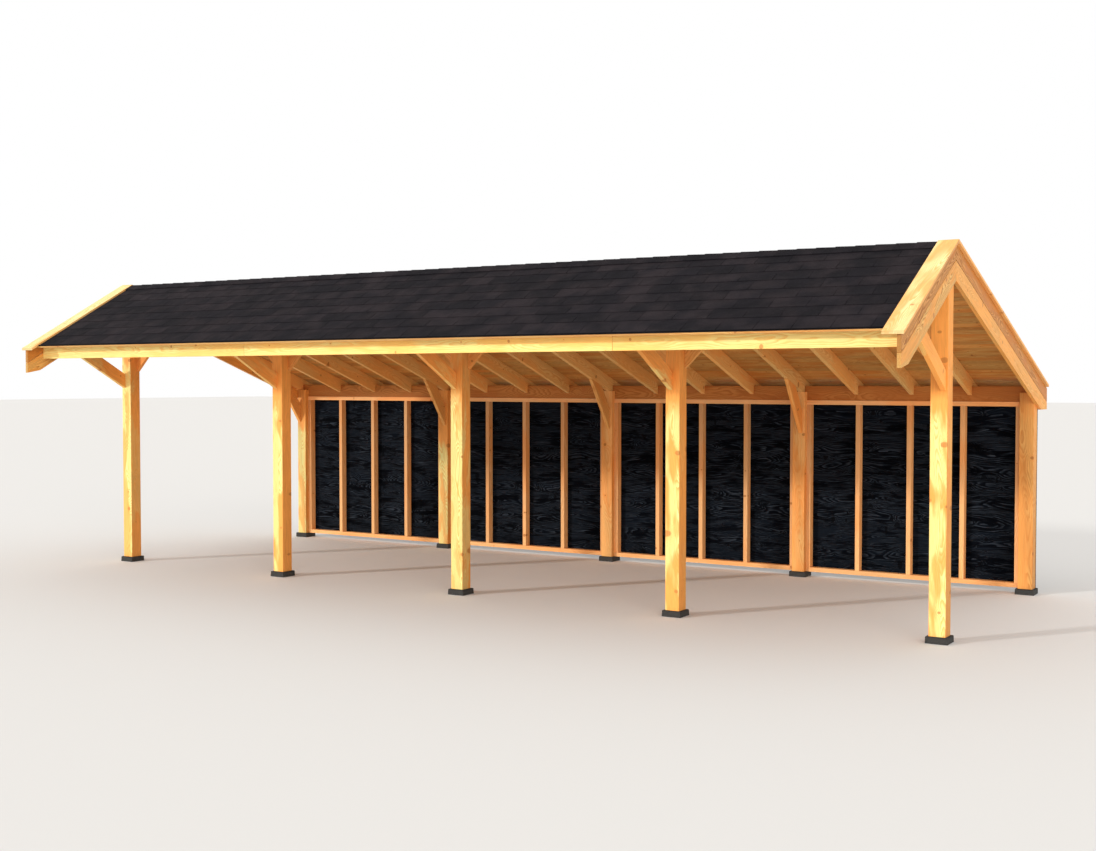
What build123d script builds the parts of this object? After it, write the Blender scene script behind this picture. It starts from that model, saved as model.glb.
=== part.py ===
from build123d import *
from math import cos, radians, tan
import os

# Open-fronted timber barn under an uneven gable roof.
# X runs along the barn, Y towards the closed back wall, Z up.
# The origin is at ground level, in the middle of the whole barn.
# All sizes are in millimetres and all pitches in degrees.

# Posts
bays = 4
bay = 2550
row_gap = 3206
post = 150
post_arris = 4
post_lip = 98

# Base blocks
block = 200
block_height = 60
block_draft = 2.5
block_edge = 6

# Roof planes, which meet over the middle of the front posts
ridge_height = 3450
front_pitch = 29
back_pitch = 19.5
front_overhang = 1396
back_overhang = 319

# Ridge beam and wall plate
beam = 75
beam_depth = 165
ridge_seat = 77
plate_seat = 97

# Rafters
rafter = 45
rafter_depth = 170
rafters_per_bay = 4

# Braces
brace = 45
brace_depth = 150
front_brace_pitch = 29.5
front_brace_drop = 1011
back_brace_pitch = 54.75
back_brace_drop = 475
ridge_brace_pitch = 45
ridge_brace_drop = 760
end_brace_inset = 15

# Roof boards and shingles
roof_board = 20
shingle = 10
shingle_drip = 5
ridge_strip = 8
ridge_strip_reach = 125

# Fascias, the front one set back under the roof boards
fascia = 28
front_fascia_setback = 150
front_fascia_depth = 227
back_fascia_depth = 140

# Bargeboards, an upper and a lower one on each slope, with their lower corners trimmed
bargeboard = 35
upper_board_depth = 137
lower_board_depth = 159
front_board_reach = 67
back_board_reach = 43
front_nose_lift = 64
front_nose_run = 172
back_nose_lift = 90

# Verge caps over the bargeboards
verge_cap = 25
verge_cap_width = 180
verge_cap_lap = 30
front_cap_reach = 27

# Back wall
stud = 50
stud_depth = 90
studs_between = 3
wall_board = 19
wall_board_gap = 5

# Rows, faces and lines that the pieces share
front_reach = front_overhang + front_board_reach + front_cap_reach
back_reach = back_overhang + back_board_reach
front_row = (front_reach - row_gap - back_reach) / 2
back_row = front_row + row_gap
post_lines = [(i - bays / 2) * bay for i in range(bays + 1)]
gable = post_lines[-1] + post / 2
beam_front = front_row + post / 2 - beam
plate_front = back_row + post / 2 - beam
wall_face = back_row + post / 2
front_face = front_row - front_overhang
front_fascia_face = front_face + front_fascia_setback
back_face = back_row + back_overhang
shingle_end = gable + bargeboard + verge_cap_lap - verge_cap_width


def front_plane(y, depth=0):
    # Height of the front slope, depth being measured square to its roof boards
    pitch = radians(front_pitch)
    return ridge_height - depth / cos(pitch) - (front_row - y) * tan(pitch)


def back_plane(y, depth=0):
    # The same for the back slope
    pitch = radians(back_pitch)
    return ridge_height - depth / cos(pitch) - (y - front_row) * tan(pitch)


def ridge_point(depth):
    # Where the two slopes cross at one depth
    rise = back_plane(front_row, depth) - front_plane(front_row, depth)
    y = front_row + rise / (tan(radians(front_pitch)) + tan(radians(back_pitch)))
    return (y, front_plane(y, depth))


def front_layer(end, top, bottom):
    # Corners of a layer on the front slope, mitred at the ridge
    return [
        (end, front_plane(end, top)),
        (end, front_plane(end, bottom)),
        ridge_point(bottom),
        ridge_point(top),
    ]


def back_layer(end, top, bottom):
    return [
        ridge_point(top),
        ridge_point(bottom),
        (end, back_plane(end, bottom)),
        (end, back_plane(end, top)),
    ]


def brace_corners(drop, pitch, top, top_slope):
    # Run and height from the post's face: a plumb foot that ends a drop below the
    # timber above, and a head cut to that timber, which climbs from top by top_slope
    plumb_depth = brace_depth / cos(radians(pitch))
    closing = tan(radians(pitch)) - top_slope
    low_run = drop / closing
    high_run = (drop - plumb_depth) / closing
    return [
        (0, top - drop),
        (low_run, top + low_run * top_slope),
        (high_run, top + high_run * top_slope),
        (0, top - drop + plumb_depth),
    ]


def is_end(line):
    # True on the frame lines of the two gables
    return abs(line) > post_lines[-1] - post / 2


def left_face(line, thickness, inner_side, inset=0):
    # X of a timber's left face: beside its frame line, or just inside the gable
    if not is_end(line):
        return line + inner_side
    if line < 0:
        return inset - gable
    return gable - inset - thickness


# Heights of the roof timbers
rafter_bottom = roof_board + rafter_depth
beam_top = front_plane(beam_front, rafter_bottom) + ridge_seat
beam_bottom = beam_top - beam_depth
plate_top = back_plane(plate_front, rafter_bottom) + plate_seat
plate_bottom = plate_top - beam_depth
front_fascia_bottom = front_plane(front_fascia_face) - front_fascia_depth
back_fascia_bottom = back_plane(back_face) - back_fascia_depth

os.makedirs("parts", exist_ok=True)

# Base blocks with drafted sides, one under each post
with BuildPart() as base_blocks:
    with BuildSketch(Plane.XY):
        with Locations([(x, y) for x in post_lines for y in (front_row, back_row)]):
            Rectangle(block, block)
    extrude(amount=block_height, taper=block_draft)
    fillet(base_blocks.edges().group_by(Axis.Z)[-1], radius=block_edge)
base_blocks.part.label = "base_blocks"
export_step(base_blocks.part, "parts/base_blocks.step")

# Posts, whose tops are notched at the back for the ridge beam or the wall plate
post_rows = (("front", front_row, beam_bottom), ("back", back_row, plate_bottom))
for row, y, seat in post_rows:
    for number, x in enumerate(post_lines, start=1):
        with BuildPart() as one_post:
            with BuildSketch(Plane.XY.offset(block_height)):
                with Locations((x, y)):
                    Rectangle(post, post)
            extrude(amount=seat + post_lip - block_height)
            chamfer(one_post.edges().filter_by(Axis.Z), length=post_arris)
            with BuildSketch(Plane.YZ.offset(x - post / 2)):
                with Locations((y + post / 2, seat)):
                    Rectangle(beam, post_lip, align=(Align.MAX, Align.MIN))
            extrude(amount=post, mode=Mode.SUBTRACT)
        one_post.part.label = f"{row}_post_{number}"
        export_step(one_post.part, f"parts/{row}_post_{number}.step")

# Ridge beam and wall plate, which lie in the notches
beams = (("ridge_beam", beam_front, beam_bottom), ("wall_plate", plate_front, plate_bottom))
for name, y, seat in beams:
    with BuildPart() as long_beam:
        with BuildSketch(Plane.YZ.offset(-gable)):
            with Locations((y, seat)):
                Rectangle(beam, beam_depth, align=(Align.MIN, Align.MIN))
        extrude(amount=2 * gable)
    long_beam.part.label = name
    export_step(long_beam.part, f"parts/{name}.step")

# Rafters of the front slope. They lap the back ones over the ridge beam, and the
# end pairs butt over the ridge line, flush with the outer faces of the end posts.
rafter_count = bays * rafters_per_bay
rafter_lines = [post_lines[0] + i * bay / rafters_per_bay for i in range(rafter_count + 1)]
front_tail = front_fascia_face + fascia
back_tail = back_face - fascia
tail_cut = 2 * rafter_depth
with BuildPart() as front_rafters:
    for i, line in enumerate(rafter_lines):
        head = front_row if is_end(line) else front_row + post / 2
        outline = [
            (front_tail, front_plane(front_tail, roof_board)),
            (front_tail, front_plane(front_tail, rafter_bottom)),
            (head, front_plane(head, rafter_bottom)),
        ]
        if is_end(line):
            outline += [(head, front_plane(head, roof_board))]
        else:
            outline += [(head, back_plane(head, roof_board)), ridge_point(roof_board)]
        with BuildSketch(Plane.YZ.offset(left_face(line, rafter, -rafter))):
            with BuildLine():
                Polyline(*outline, close=True)
            make_face()
            with Locations((beam_front, beam_bottom)):
                Rectangle(beam, beam_depth, align=(Align.MIN, Align.MIN), mode=Mode.SUBTRACT)
            if i % rafters_per_bay == 0:
                with Locations((front_row - post / 2, beam_bottom)):
                    Rectangle(post - beam, post_lip, align=(Align.MIN, Align.MIN), mode=Mode.SUBTRACT)
        extrude(amount=rafter)
front_rafters.part.label = "front_rafters"
export_step(front_rafters.part, "parts/front_rafters.step")

# Rafters of the back slope, notched over the ridge beam and the wall plate
with BuildPart() as back_rafters:
    for i, line in enumerate(rafter_lines):
        head = front_row if is_end(line) else beam_front
        outline = [
            (head, front_plane(head, roof_board)),
            (head, back_plane(head, rafter_bottom)),
            (back_tail, back_plane(back_tail, rafter_bottom)),
            (back_tail, back_plane(back_tail, roof_board)),
            ridge_point(roof_board),
        ]
        with BuildSketch(Plane.YZ.offset(left_face(line, rafter, 0))):
            with BuildLine():
                Polyline(*outline, close=True)
            make_face()
            with Locations((beam_front, beam_bottom), (plate_front, plate_bottom)):
                Rectangle(beam, beam_depth, align=(Align.MIN, Align.MIN), mode=Mode.SUBTRACT)
            if i % rafters_per_bay == 0:
                with Locations((back_row - post / 2, plate_bottom)):
                    Rectangle(post - beam, post_lip, align=(Align.MIN, Align.MIN), mode=Mode.SUBTRACT)
            with Locations((back_tail, back_fascia_bottom)):
                Rectangle(tail_cut, tail_cut, align=(Align.MAX, Align.MAX), mode=Mode.SUBTRACT)
        extrude(amount=rafter)
back_rafters.part.label = "back_rafters"
export_step(back_rafters.part, "parts/back_rafters.step")

# Braces from the front faces of the posts up to the rafters above them. The back post
# of the right gable has none.
front_post_face = front_row - post / 2
back_post_face = back_row - post / 2
front_brace = brace_corners(
    front_brace_drop,
    front_brace_pitch,
    front_plane(front_post_face, rafter_bottom),
    -tan(radians(front_pitch)),
)
back_brace = brace_corners(
    back_brace_drop,
    back_brace_pitch,
    back_plane(back_post_face, rafter_bottom),
    tan(radians(back_pitch)),
)
brace_rows = (
    ("front", post_lines, front_post_face, front_brace, -brace),
    ("back", post_lines[:-1], back_post_face, back_brace, 0),
)
for row, lines, face, corners, inner_side in brace_rows:
    for number, x in enumerate(lines, start=1):
        side = left_face(x, brace, inner_side, end_brace_inset)
        with BuildPart() as one_brace:
            with BuildSketch(Plane.YZ.offset(side)):
                with BuildLine():
                    Polyline(*[(face - run, height) for run, height in corners], close=True)
                make_face()
            extrude(amount=brace)
        one_brace.part.label = f"{row}_brace_{number}"
        export_step(one_brace.part, f"parts/{row}_brace_{number}.step")

# Braces along the ridge, from the sides of the front posts to the ridge beam
ridge_brace = brace_corners(ridge_brace_drop, ridge_brace_pitch, beam_bottom, 0)
with BuildPart() as ridge_braces:
    with BuildSketch(Plane.XZ.offset(-front_row - post / 2)):
        for x, turn in [(x, 1) for x in post_lines[:-1]] + [(x, -1) for x in post_lines[1:]]:
            with BuildLine():
                Polyline(*[(x + turn * (post / 2 + run), z) for run, z in ridge_brace], close=True)
            make_face()
    extrude(amount=brace)
ridge_braces.part.label = "ridge_braces"
export_step(ridge_braces.part, "parts/ridge_braces.step")

# Roof boards, shingles and verge caps on both slopes. The back caps end over the
# fascia, the front ones reach past the bargeboards.
slopes = (
    ("front", front_layer, front_face, front_face - shingle_drip, front_row - front_reach),
    ("back", back_layer, back_tail, back_face + shingle_drip, back_face),
)
for slope, layer, board_end, drip, cap_end in slopes:
    with BuildPart() as roof_boards:
        with BuildSketch(Plane.YZ.offset(-gable)):
            with BuildLine():
                Polyline(*layer(board_end, 0, roof_board), close=True)
            make_face()
        extrude(amount=2 * gable)
    roof_boards.part.label = f"{slope}_roof_boards"
    export_step(roof_boards.part, f"parts/{slope}_roof_boards.step")

    with BuildPart() as shingles:
        with BuildSketch(Plane.YZ.offset(-shingle_end)):
            with BuildLine():
                Polyline(*layer(drip, -shingle, 0), close=True)
            make_face()
        extrude(amount=2 * shingle_end)
    shingles.part.label = f"{slope}_shingles"
    export_step(shingles.part, f"parts/{slope}_shingles.step")

    with BuildPart() as verge_caps:
        for side in (-shingle_end - verge_cap_width, shingle_end):
            with BuildSketch(Plane.YZ.offset(side)):
                with BuildLine():
                    Polyline(*layer(cap_end, -verge_cap, 0), close=True)
                make_face()
            extrude(amount=verge_cap_width)
    verge_caps.part.label = f"{slope}_verge_caps"
    export_step(verge_caps.part, f"parts/{slope}_verge_caps.step")

# Shingle strip folded over the ridge
strip_front = front_row - ridge_strip_reach * cos(radians(front_pitch))
strip_back = front_row + ridge_strip_reach * cos(radians(back_pitch))
strip_top = -shingle - ridge_strip
with BuildPart() as ridge_cap:
    with BuildSketch(Plane.YZ.offset(-shingle_end)):
        with BuildLine():
            Polyline(
                (strip_front, front_plane(strip_front, -shingle)),
                ridge_point(-shingle),
                (strip_back, back_plane(strip_back, -shingle)),
                (strip_back, back_plane(strip_back, strip_top)),
                ridge_point(strip_top),
                (strip_front, front_plane(strip_front, strip_top)),
                close=True,
            )
        make_face()
    extrude(amount=2 * shingle_end)
ridge_cap.part.label = "ridge_cap"
export_step(ridge_cap.part, "parts/ridge_cap.step")

# Fascias over the plumb-cut rafter tails, with their tops planed to the roof. The
# front one fits under the roof boards, the back one covers their ends.
fascias = (
    ("front_fascia", front_fascia_face, front_tail, front_plane, front_fascia_bottom, roof_board),
    ("back_fascia", back_face, back_tail, back_plane, back_fascia_bottom, 0),
)
for name, outer, inner, plane, bottom, depth in fascias:
    with BuildPart() as one_fascia:
        with BuildSketch(Plane.YZ.offset(-gable)):
            with BuildLine():
                Polyline(
                    (outer, bottom),
                    (inner, bottom),
                    (inner, plane(inner, depth)),
                    (outer, plane(outer, depth)),
                    close=True,
                )
            make_face()
        extrude(amount=2 * gable)
    one_fascia.part.label = name
    export_step(one_fascia.part, f"parts/{name}.step")

# Bargeboards on both gables, mitred at the ridge and cut plumb at the eaves
front_end = front_face - front_board_reach
back_end = back_face + back_board_reach
both_depths = upper_board_depth + lower_board_depth
front_nose = front_end + front_nose_run
front_nose_height = front_plane(front_end, both_depths) + front_nose_lift
back_nose = back_end - back_nose_lift / tan(radians(back_pitch))
back_nose_height = back_plane(back_end, both_depths) + back_nose_lift
boards = {
    "front_upper_bargeboards": front_layer(front_end, 0, upper_board_depth),
    "front_lower_bargeboards": [
        (front_end, front_plane(front_end, upper_board_depth)),
        (front_end, front_nose_height),
        (front_nose, front_plane(front_nose, both_depths)),
        ridge_point(both_depths),
        ridge_point(upper_board_depth),
    ],
    "back_upper_bargeboards": back_layer(back_end, 0, upper_board_depth),
    "back_lower_bargeboards": [
        ridge_point(upper_board_depth),
        ridge_point(both_depths),
        (back_nose, back_nose_height),
        (back_end, back_nose_height),
        (back_end, back_plane(back_end, upper_board_depth)),
    ],
}
for name, outline in boards.items():
    with BuildPart() as bargeboards:
        for side in (-gable - bargeboard, gable):
            with BuildSketch(Plane.YZ.offset(side)):
                with BuildLine():
                    Polyline(*outline, close=True)
                make_face()
            extrude(amount=bargeboard)
    bargeboards.part.label = name
    export_step(bargeboards.part, f"parts/{name}.step")

# Rails between the back posts, one along the bottom of each bay and one under the plate
rail_length = bay - post
rail_heights = (block_height, plate_bottom - stud)
with BuildPart() as wall_rails:
    with BuildSketch(Plane.XZ.offset(-wall_face)):
        with Locations([(x + bay / 2, z) for x in post_lines[:-1] for z in rail_heights]):
            Rectangle(rail_length, stud, align=(Align.CENTER, Align.MIN))
    extrude(amount=stud_depth)
wall_rails.part.label = "wall_rails"
export_step(wall_rails.part, "parts/wall_rails.step")

# Studs between the rails, the outer ones against the posts
studs_per_bay = studs_between + 2
stud_height = plate_bottom - block_height - 2 * stud
stud_spacing = (rail_length - stud) / (studs_per_bay - 1)
for number, x in enumerate(post_lines[:-1], start=1):
    with BuildPart() as wall_studs:
        with BuildSketch(Plane.XZ.offset(-wall_face)):
            with Locations((x + bay / 2, block_height + stud + stud_height / 2)):
                with GridLocations(stud_spacing, 0, studs_per_bay, 1):
                    Rectangle(stud, stud_height)
        extrude(amount=stud_depth)
    wall_studs.part.label = f"wall_studs_{number}"
    export_step(wall_studs.part, f"parts/wall_studs_{number}.step")

# Boards across the back of the posts and frames, stopping just under the rafters
wall_back = wall_face + wall_board
wall_top = back_plane(wall_back, rafter_bottom) - wall_board_gap
with BuildPart() as wall_boards:
    with BuildSketch(Plane.YZ.offset(-gable)):
        with Locations((wall_face, block_height)):
            Rectangle(wall_board, wall_top - block_height, align=(Align.MIN, Align.MIN))
    extrude(amount=2 * gable)
wall_boards.part.label = "wall_boards"
export_step(wall_boards.part, "parts/wall_boards.step")
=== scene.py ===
import itertools
import math
import random

import bmesh
import bpy
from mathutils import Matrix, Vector, noise


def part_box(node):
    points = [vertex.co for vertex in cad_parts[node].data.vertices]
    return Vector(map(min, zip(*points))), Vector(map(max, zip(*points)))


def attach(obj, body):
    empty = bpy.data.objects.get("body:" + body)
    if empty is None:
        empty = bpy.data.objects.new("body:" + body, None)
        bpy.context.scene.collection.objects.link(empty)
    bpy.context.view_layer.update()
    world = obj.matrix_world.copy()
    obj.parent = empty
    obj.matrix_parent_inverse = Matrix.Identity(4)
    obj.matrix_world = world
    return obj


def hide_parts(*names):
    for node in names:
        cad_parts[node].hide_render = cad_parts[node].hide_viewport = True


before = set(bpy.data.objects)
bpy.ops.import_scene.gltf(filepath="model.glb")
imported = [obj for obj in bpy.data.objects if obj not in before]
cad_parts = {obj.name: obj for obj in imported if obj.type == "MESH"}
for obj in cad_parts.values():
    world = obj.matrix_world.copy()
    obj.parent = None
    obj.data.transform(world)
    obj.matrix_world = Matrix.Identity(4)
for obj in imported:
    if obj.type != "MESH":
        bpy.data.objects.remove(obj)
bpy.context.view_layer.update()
scene = bpy.context.scene
print("frame loaded:", len(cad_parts), "nodes")

# Camera and lamps

view = {
    # metres, degrees, and millimetres for the lens and sensor
    "place": (8.4846, -12.8043, 2.2611),
    "tiltDown": 1.844,
    "turn": 32.128,
    "lens": 44.84,
    "sensor": 36.0,
    "clipEnd": 400.0,
}
lamps = {
    # the side each shines from, its height and its softness are in degrees
    "keySun": {
        "side": 35.0,
        "height": 15.3,
        "softness": 3.5,
        "strength": 1.78,
        "colour": (1.0, 0.97, 0.89),
    },
    "lowFill": {
        "side": -42.0,
        "height": 9.0,
        "softness": 40.0,
        "strength": 1.25,
        "colour": (1.0, 0.91, 0.79),
    },
}

cameraData = bpy.data.cameras.new("viewCamera")
cameraData.sensor_width = view["sensor"]
cameraData.lens = view["lens"]
cameraData.clip_end = view["clipEnd"]
camera = bpy.data.objects.new("viewCamera", cameraData)
camera.location = view["place"]
camera.rotation_euler = (math.radians(90.0 - view["tiltDown"]), 0.0, math.radians(view["turn"]))
scene.collection.objects.link(camera)
scene.camera = camera
scene.view_settings.view_transform = "Standard"

for lampName, lamp in lamps.items():
    lampData = bpy.data.lights.new(lampName, "SUN")
    lampData.energy = lamp["strength"]
    lampData.angle = math.radians(lamp["softness"])
    lampData.color = lamp["colour"]
    lampObject = bpy.data.objects.new(lampName, lampData)
    tilt, turn = math.radians(90.0 - lamp["height"]), math.radians(-lamp["side"])
    lampObject.rotation_euler = (tilt, 0.0, turn)
    scene.collection.objects.link(lampObject)


# Short ways to place and join shader nodes

def addNode(tree, kind, **settings):
    node = tree.nodes.new(kind)
    for name, value in settings.items():
        setattr(node, name, value)
    return node


def feed(tree, socket, value):
    if isinstance(value, bpy.types.NodeSocket):
        tree.links.new(value, socket)
    else:
        socket.default_value = value


def feedAll(tree, node, given):
    for name, value in given.items():
        feed(tree, node.inputs[name], value)


def calc(tree, operation, *values):
    node = addNode(tree, "ShaderNodeMath", operation=operation)
    for socket, value in zip(node.inputs, values):
        feed(tree, socket, value)
    return node.outputs[0]


def times(tree, first, second):
    return calc(tree, "MULTIPLY", first, second)


def swayed(tree, base, source, share, middle=0.5):
    # The base, moved by a share of how far the source lies from its middle
    return calc(tree, "MULTIPLY_ADD", calc(tree, "SUBTRACT", source, middle), share, base)


def limited(tree, value):
    return calc(tree, "MINIMUM", calc(tree, "MAXIMUM", value, 0.0), 1.0)


def distance(tree, first, second):
    squares = calc(tree, "ADD", times(tree, first, first), times(tree, second, second))
    return calc(tree, "SQRT", squares)


def ramp(tree, value, low, high, toLow=0.0, toHigh=1.0):
    node = addNode(tree, "ShaderNodeMapRange", interpolation_type="SMOOTHSTEP")
    given = {"Value": value, "From Min": low, "From Max": high, "To Min": toLow, "To Max": toHigh}
    feedAll(tree, node, given)
    return node.outputs["Result"]


def stretched(tree, x, y, z, scales):
    node = addNode(tree, "ShaderNodeCombineXYZ")
    for socket, value, scale in zip(node.inputs, (x, y, z), scales):
        feed(tree, socket, times(tree, value, scale))
    return node.outputs[0]


def separated(tree, source, kind="ShaderNodeSeparateXYZ"):
    node = addNode(tree, kind)
    feed(tree, node.inputs[0], source)
    return node.outputs


def cloud(tree, vector, scale=1.0, detail=2.0, roughness=0.5):
    node = addNode(tree, "ShaderNodeTexNoise", noise_dimensions="3D")
    given = {"Vector": vector, "Scale": scale, "Detail": detail, "Roughness": roughness}
    feedAll(tree, node, given)
    return node.outputs["Fac"]


def cells(tree, vector, scale, randomness=1.0, dimensions="3D"):
    node = addNode(tree, "ShaderNodeTexVoronoi", voronoi_dimensions=dimensions)
    feedAll(tree, node, {"Vector": vector, "Scale": scale, "Randomness": randomness})
    return node.outputs


def blend(tree, amount, first, second):
    node = addNode(tree, "ShaderNodeMix", data_type="RGBA")
    feedAll(tree, node, {"Factor": amount, "A": first, "B": second})
    return node.outputs["Result"]


def shade(tree, colour, factor):
    node = addNode(tree, "ShaderNodeVectorMath", operation="SCALE")
    feed(tree, node.inputs[0], colour)
    feed(tree, node.inputs["Scale"], factor)
    return node.outputs[0]


def bumped(tree, height, strength, depth, under=None):
    node = addNode(tree, "ShaderNodeBump")
    feedAll(tree, node, {"Height": height, "Strength": strength, "Distance": depth})
    if under is not None:
        feed(tree, node.inputs["Normal"], under)
    return node.outputs["Normal"]


def attribute(tree, name, output):
    node = addNode(tree, "ShaderNodeAttribute", attribute_name=name)
    return node.outputs[output]


def newGroup(name, inputs, outputs):
    group = bpy.data.node_groups.new(name, "ShaderNodeTree")
    for label, kind, value in inputs:
        socket = group.interface.new_socket(name=label, in_out="INPUT", socket_type=kind)
        if value is not None:
            socket.default_value = value
    for label in outputs:
        group.interface.new_socket(name=label, in_out="OUTPUT", socket_type="NodeSocketFloat")
    return group, addNode(group, "NodeGroupInput"), addNode(group, "NodeGroupOutput")


def newMaterial(name, gloss):
    material = bpy.data.materials.new(name)
    material.use_nodes = True
    shader = material.node_tree.nodes["Principled BSDF"]
    shader.inputs["Specular IOR Level"].default_value = gloss
    return material, material.node_tree, shader


# Growth rings round a pith line, with knots that grow out of it, fibres and broad patches.
# Grain holds metres along the timber and across it from the pith.

woodShape = {
    # scales are per metre, as (along, across, across) where there are three
    "drift": {"Scale": 1.1, "Detail": 1.5},
    "ripples": (2.4, 16.0, 16.0),
    "rippleDetail": 3.0,
    "rippleRings": 3.0,  # how many rings a ripple moves
    "knotsPerRadian": 0.9,
    "knotRandom": 0.9,
    "knotLeast": 0.35,  # added to the chance that sets a knot's size
    "knotRadius": 0.11,  # beyond this far from the pith a knot grows no wider
    "knotThinnest": 0.001,
    "knotBack": (3.0, 2.7),  # no knots at the back, where the angle starts again
    "knotRim": (1.15, 0.85),
    "knotTurns": 2.6,
    "knotTurnShare": 0.7,
    "swellFade": -0.55,
    "swellRings": 2.2,
    "lateRise": (0.25, 0.88),
    "lateFall": (1.0, 0.9),
    "fibres": (3.0, 70.0, 70.0),
    "fibreDetail": 5.0,
    "fibreRough": 0.62,
    "patches": (1.1, 5.0, 5.0),
    "patchDetail": 2.5,
    "reliefShare": 0.5,  # of the rings and of the fibres
}
woodMasks = ["Late Wood", "Fibre", "Knot", "Halo", "Patch", "Relief"]


def buildWoodFigure(shape):
    number = "NodeSocketFloat"
    group, given, result = newGroup(
        "woodFigure",
        [
            ("Grain", "NodeSocketVector", None),
            ("Ring Pitch", number, 0.007),
            ("Wander", number, 0.02),
            ("Knot Gap", number, 0.35),
            ("Knot Size", number, 0.16),
            ("Knot Share", number, 0.5),
            ("Patch Pitch", number, 1.0),
        ],
        woodMasks,
    )
    given = given.outputs
    x, y, z = separated(group, given["Grain"])

    # The pith line drifts sideways along the timber
    drift = addNode(group, "ShaderNodeTexNoise", noise_dimensions="1D")
    feedAll(group, drift, {"W": x, **shape["drift"]})
    drifts = separated(group, drift.outputs["Color"], "ShaderNodeSeparateColor")
    y = swayed(group, y, drifts[0], given["Wander"])
    z = swayed(group, z, drifts[1], given["Wander"])

    pitch = given["Ring Pitch"]
    ripple = cloud(group, stretched(group, x, y, z, shape["ripples"]), detail=shape["rippleDetail"])
    rippled = times(group, pitch, shape["rippleRings"])
    radius = swayed(group, distance(group, y, z), ripple, rippled)
    angle = calc(group, "ARCTAN2", z, y)

    # Knots lie in cells along the timber and round the pith
    gap = given["Knot Gap"]
    along = calc(group, "DIVIDE", x, gap)
    aside = times(group, angle, shape["knotsPerRadian"])
    cell = addNode(group, "ShaderNodeCombineXYZ")
    feedAll(group, cell, {"X": along, "Y": aside})
    whorl = cells(group, cell.outputs[0], 1.0, shape["knotRandom"], "2D")
    centre = separated(group, whorl["Position"])
    chance = separated(group, whorl["Color"], "ShaderNodeSeparateColor")
    offAlong = times(group, calc(group, "SUBTRACT", along, centre[0]), gap)
    arc = calc(group, "DIVIDE", radius, shape["knotsPerRadian"])
    offRound = times(group, calc(group, "SUBTRACT", aside, centre[1]), arc)
    size = times(group, calc(group, "ADD", chance[0], shape["knotLeast"]), given["Knot Size"])
    girth = times(group, calc(group, "MINIMUM", radius, shape["knotRadius"]), size)
    thinnest = calc(group, "MAXIMUM", girth, shape["knotThinnest"])
    reach = calc(group, "DIVIDE", distance(group, offAlong, offRound), thinnest)
    present = calc(group, "LESS_THAN", chance[1], given["Knot Share"])
    front = ramp(group, calc(group, "ABSOLUTE", angle), *shape["knotBack"])
    present = times(group, present, front)
    knot = times(group, present, ramp(group, reach, *shape["knotRim"]))
    fade = calc(group, "EXPONENT", times(group, reach, shape["swellFade"]))
    swell = times(group, present, fade)

    # Late wood darkens towards the end of each ring, and the rings swell round the knots
    pushed = calc(group, "MULTIPLY_ADD", swell, times(group, girth, shape["swellRings"]), radius)
    turn = calc(group, "FRACT", calc(group, "DIVIDE", pushed, pitch))
    rise, fall = ramp(group, turn, *shape["lateRise"]), ramp(group, turn, *shape["lateFall"])
    late = times(group, rise, fall)
    knotTurn = calc(group, "FRACT", times(group, reach, shape["knotTurns"]))
    knotTurn = times(group, knotTurn, shape["knotTurnShare"])
    late = calc(group, "MULTIPLY_ADD", calc(group, "SUBTRACT", knotTurn, late), knot, late)

    fibres = stretched(group, x, y, z, shape["fibres"])
    fibre = cloud(group, fibres, detail=shape["fibreDetail"], roughness=shape["fibreRough"])
    patches = stretched(group, x, y, z, shape["patches"])
    patch = cloud(group, patches, given["Patch Pitch"], shape["patchDetail"])
    half = shape["reliefShare"]
    relief = calc(group, "ADD", times(group, late, half), times(group, fibre, half))
    for label, value in zip(woodMasks, (late, fibre, knot, swell, patch, relief)):
        feed(group, result.inputs[label], value)
    return group


woodFigure = buildWoodFigure(woodShape)


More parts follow.
